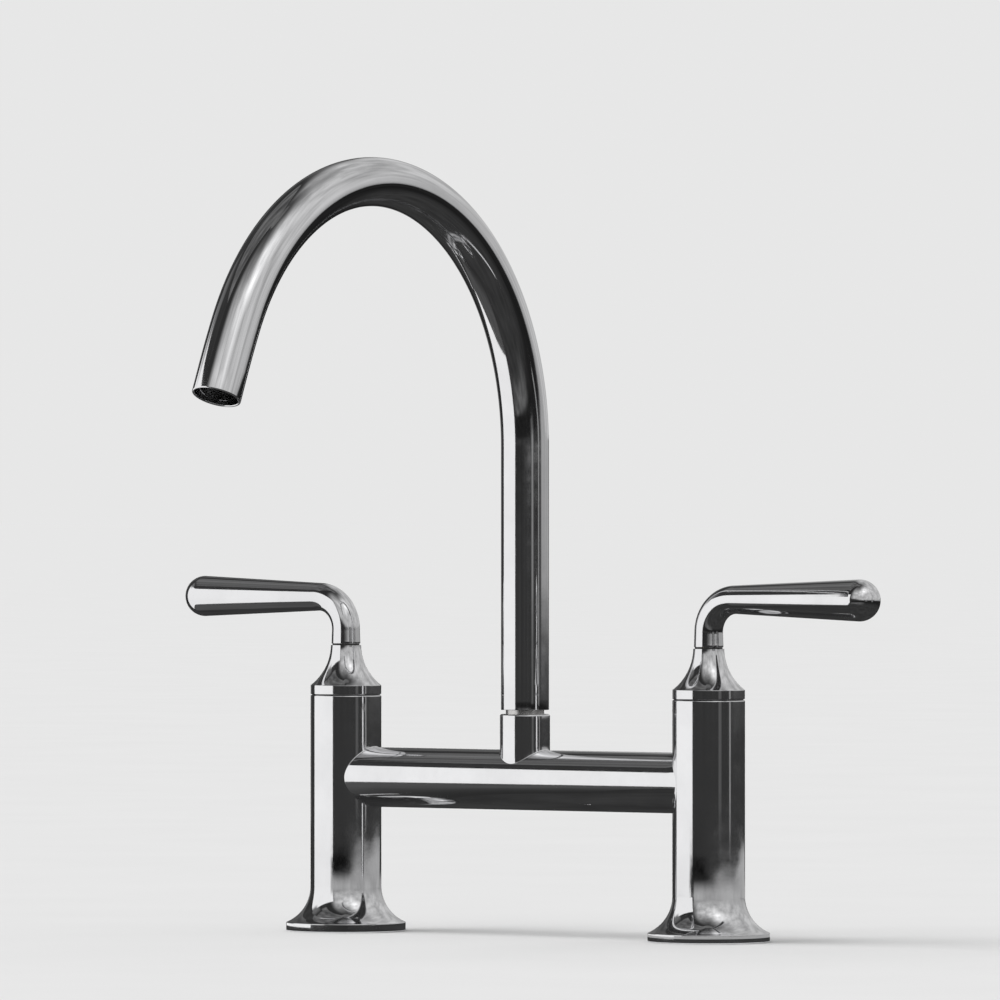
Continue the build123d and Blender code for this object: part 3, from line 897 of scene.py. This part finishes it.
def make_fills():
    """Fainter lights at the right and the rear."""
    upright_card("right_strip", (66.5, 71.5), (0.0, fill_top), 1.5, (0.22, 0.30))
    upright_card("right_haze", (27, 45), (0.0, fill_top), 1.8, (0.20, 0.28), 6, haze_glow)
    upright_card("right_wall", (62, 156), (0.0, 0.28), 4.2, (0.32, 0.40), 3, wall_glow)
    upright_card("rear_edge", (-178, -150), (0.0, 1.2), 1.6, (0.03, 0.12))


def make_painted_table_reflections():
    """Painted reflections of a glossy dark table top, on veils over the matt floor: painted sheen near
    the object where it is seen edge on, painted shade far out.
    """
    # Painted sheen: a veil that glows where the floor is seen edge on
    level_card("painted_table_sheen", table_span, table_reach, table_sheen_height, (0.34, 0.46), 30,
               painted_sheen_glow, GRAZING)
    # Painted shade: a veil with negative glow that darkens the floor far out at the left, where it is
    # seen edge on
    level_card("painted_far_shade", (-60, 25), (0.55, 1.1), far_dip_height, (-0.028, -0.022), 6,
               fading(start=0.1, end=0.5, top=0.4), GRAZING)
    # Painted shade: a veil with negative glow that darkens the floor where the metal sees it steeply
    level_card("painted_steep_shade", (-46, 230), (0.5, drum_r), steep_floor_height, (-0.020, -0.010), 3,
               fading(start=0.02, end=0.02, foot=0.1), STEEP)
    # Painted shade: a dark band along the horizon, in front of the sky's lowest edge
    upright_card("painted_horizon_shade", (-60, 22), (0.215, 0.292), 4.9, (-0.028, -0.022), 1,
                 fading(start=0.1, end=0.5, foot=0.5, top=0.06))
    # Painted light: a veil that brightens the floor at the left and middle where the metal sees it
    # steeply
    level_card("painted_floor_light", (-50, 38), (0.4, 1.1), floor_patch_height, (0.02, 0.14), 4,
               fading(start=0.25, end=0.3, foot=0.35, top=0.25), STEEP)


def make_painted_foot_reflections(side):
    """Painted reflections at a column's foot: a copy of the key close by that paints it on the rim, and
    a ring that paints the sheen where the cove begins.
    """
    foot = (SIDES[side] * half_centres, 0, 0)
    radius = 1.5 * flange_r
    # Painted reflection of the key on the flange's rim
    upright_card(f"{side}_painted_rim_reflection", key_span, (0.0016, flange_rim), radius, (0.97, 0.97),
                 centre=foot)
    # Painted sheen where the cove begins: a veil that glows only towards what meets it straight on
    upright_card(f"{side}_painted_cove_sheen", (-42, 150), (0.012, 0.0285), radius, (0.32, 0.48), 60,
                 fading(start=0.02, end=0.02, foot=0.4, top=0.5), foot, SQUARE)


# Floor, sun and world -------------------------------------------------------------------

BACKGROUND = 0.80           # floor and backdrop, as a reflectance
FLOOR_CLOUD = 0.006         # how far the floor strays from that
FLOOR_REACH = 60
SKY_LIGHT = 0.55            # even light from all round; the sun adds the rest
SUN_LIGHT = 0.45
SUN_TILT = 35
SUN_WIDTH = 40


def make_floor():
    """Plain pale matt floor."""
    mesh = bpy.data.meshes.new("floor")
    corners = [(-1, -1), (1, -1), (1, 1), (-1, 1)]
    mesh.from_pydata([(FLOOR_REACH * x, FLOOR_REACH * y, 0) for x, y in corners], [], [(0, 1, 2, 3)])
    m = Nodes("pale_floor")
    m.tint(m.noise(9, 5), (BACKGROUND - FLOOR_CLOUD,) * 3, (BACKGROUND + FLOOR_CLOUD,) * 3)
    m.shader.inputs["Roughness"].default_value = 1.0
    m.shader.inputs["Specular IOR Level"].default_value = 0.0
    mesh.materials.append(m.material)
    floor = bpy.data.objects.new("floor", mesh)
    bpy.context.scene.collection.objects.link(floor)


def make_sun():
    """Wide soft sun from the camera's left, which shows in nothing glossy."""
    light = bpy.data.lights.new("sun", "SUN")
    light.energy = SUN_LIGHT * pi / cos(radians(SUN_TILT))
    light.angle = radians(SUN_WIDTH)
    sun = bpy.data.objects.new("sun", light)
    to_sun = UP * cos(radians(SUN_TILT)) - camera_right * sin(radians(SUN_TILT))
    sun.rotation_euler = to_sun.to_track_quat("Z", "Y").to_euler()
    sun.visible_glossy = False
    bpy.context.scene.collection.objects.link(sun)


def make_world():
    """Even light, and the plain backdrop wherever the camera, metal or glass looks past the floor."""
    world = bpy.data.worlds.new("studio")
    world.use_nodes = True
    tree = world.node_tree
    tree.nodes.clear()

    def background(strength):
        node = tree.nodes.new("ShaderNodeBackground")
        node.inputs["Color"].default_value = (1, 1, 1, 1)
        node.inputs["Strength"].default_value = strength
        return node.outputs["Background"]

    def either(a, b):
        node = tree.nodes.new("ShaderNodeMath")
        node.operation = "MAXIMUM"
        tree.links.new(a, node.inputs[0])
        tree.links.new(b, node.inputs[1])
        return node.outputs["Value"]

    rays = tree.nodes.new("ShaderNodeLightPath").outputs
    seen = either(either(rays["Is Camera Ray"], rays["Is Glossy Ray"]), rays["Is Transmission Ray"])
    mix = tree.nodes.new("ShaderNodeMixShader")
    output = tree.nodes.new("ShaderNodeOutputWorld")
    tree.links.new(seen, mix.inputs[0])
    tree.links.new(background(SKY_LIGHT), mix.inputs[1])
    tree.links.new(background(BACKGROUND), mix.inputs[2])
    tree.links.new(mix.outputs[0], output.inputs["Surface"])
    return world


make_floor()
make_room()
make_key()
make_fills()
make_painted_table_reflections()
for side in SIDES:
    make_painted_foot_reflections(side)
make_sun()
bpy.context.scene.world = make_world()
bpy.context.scene.view_settings.view_transform = "Standard"
